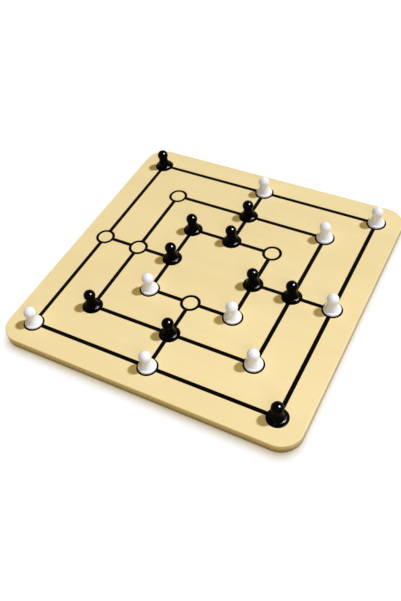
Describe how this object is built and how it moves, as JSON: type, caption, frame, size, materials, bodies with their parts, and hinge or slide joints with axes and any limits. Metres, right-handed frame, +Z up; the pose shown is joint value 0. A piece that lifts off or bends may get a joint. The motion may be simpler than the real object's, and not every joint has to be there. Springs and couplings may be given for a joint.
{
  "type": "nine mens morris board",
  "caption": "Square nine mens morris board with rounded corners, black playing lines and rings, and black and white pawn-shaped men standing on its points.",
  "frame": {"origin": "centre of the board's underside, where it rests on the table", "axes": "+Z up out of the playing face; +X to the right along the near side, files a to g; +Y to the far side, ranks 1 to 7"},
  "size_m": [0.25, 0.25, 0.0255],
  "materials": {
    "board": "smooth matt lacquer over a pale panel",
    "line_paint": "satin black enamel paint",
    "black_man": "moulded, high gloss",
    "white_man": "moulded, high gloss"
  },
  "bodies": {
    "board": {"board": "board", "point_rings": "line_paint", "outer_square_line": "line_paint", "middle_square_line": "line_paint", "inner_square_line": "line_paint", "link_lines": "line_paint"},
    "black_man_a7": {"black_man_a7": "black_man"},
    "black_man_d6": {"black_man_d6": "black_man"},
    "black_man_c5": {"black_man_c5": "black_man"},
    "black_man_d5": {"black_man_d5": "black_man"},
    "black_man_c4": {"black_man_c4": "black_man"},
    "black_man_e4": {"black_man_e4": "black_man"},
    "black_man_f4": {"black_man_f4": "black_man"},
    "black_man_b2": {"black_man_b2": "black_man"},
    "black_man_d2": {"black_man_d2": "black_man"},
    "black_man_g1": {"black_man_g1": "black_man"},
    "white_man_d7": {"white_man_d7": "white_man"},
    "white_man_g7": {"white_man_g7": "white_man"},
    "white_man_f6": {"white_man_f6": "white_man"},
    "white_man_g4": {"white_man_g4": "white_man"},
    "white_man_c3": {"white_man_c3": "white_man"},
    "white_man_e3": {"white_man_e3": "white_man"},
    "white_man_f2": {"white_man_f2": "white_man"},
    "white_man_a1": {"white_man_a1": "white_man"},
    "white_man_d1": {"white_man_d1": "white_man"}
  },
  "joints": [
    {"name": "lift_black_man_a7", "type": "slide", "parent": "board", "child": "black_man_a7", "axis": [0, 0, 1], "range_m": [0, 0.023]},
    {"name": "lift_black_man_d6", "type": "slide", "parent": "board", "child": "black_man_d6", "axis": [0, 0, 1], "range_m": [0, 0.023]},
    {"name": "lift_black_man_c5", "type": "slide", "parent": "board", "child": "black_man_c5", "axis": [0, 0, 1], "range_m": [0, 0.023]},
    {"name": "lift_black_man_d5", "type": "slide", "parent": "board", "child": "black_man_d5", "axis": [0, 0, 1], "range_m": [0, 0.023]},
    {"name": "lift_black_man_c4", "type": "slide", "parent": "board", "child": "black_man_c4", "axis": [0, 0, 1], "range_m": [0, 0.023]},
    {"name": "lift_black_man_e4", "type": "slide", "parent": "board", "child": "black_man_e4", "axis": [0, 0, 1], "range_m": [0, 0.023]},
    {"name": "lift_black_man_f4", "type": "slide", "parent": "board", "child": "black_man_f4", "axis": [0, 0, 1], "range_m": [0, 0.023]},
    {"name": "lift_black_man_b2", "type": "slide", "parent": "board", "child": "black_man_b2", "axis": [0, 0, 1], "range_m": [0, 0.023]},
    {"name": "lift_black_man_d2", "type": "slide", "parent": "board", "child": "black_man_d2", "axis": [0, 0, 1], "range_m": [0, 0.023]},
    {"name": "lift_black_man_g1", "type": "slide", "parent": "board", "child": "black_man_g1", "axis": [0, 0, 1], "range_m": [0, 0.023]},
    {"name": "lift_white_man_d7", "type": "slide", "parent": "board", "child": "white_man_d7", "axis": [0, 0, 1], "range_m": [0, 0.023]},
    {"name": "lift_white_man_g7", "type": "slide", "parent": "board", "child": "white_man_g7", "axis": [0, 0, 1], "range_m": [0, 0.023]},
    {"name": "lift_white_man_f6", "type": "slide", "parent": "board", "child": "white_man_f6", "axis": [0, 0, 1], "range_m": [0, 0.023]},
    {"name": "lift_white_man_g4", "type": "slide", "parent": "board", "child": "white_man_g4", "axis": [0, 0, 1], "range_m": [0, 0.023]},
    {"name": "lift_white_man_c3", "type": "slide", "parent": "board", "child": "white_man_c3", "axis": [0, 0, 1], "range_m": [0, 0.023]},
    {"name": "lift_white_man_e3", "type": "slide", "parent": "board", "child": "white_man_e3", "axis": [0, 0, 1], "range_m": [0, 0.023]},
    {"name": "lift_white_man_f2", "type": "slide", "parent": "board", "child": "white_man_f2", "axis": [0, 0, 1], "range_m": [0, 0.023]},
    {"name": "lift_white_man_a1", "type": "slide", "parent": "board", "child": "white_man_a1", "axis": [0, 0, 1], "range_m": [0, 0.023]},
    {"name": "lift_white_man_d1", "type": "slide", "parent": "board", "child": "white_man_d1", "axis": [0, 0, 1], "range_m": [0, 0.023]}
  ]
}
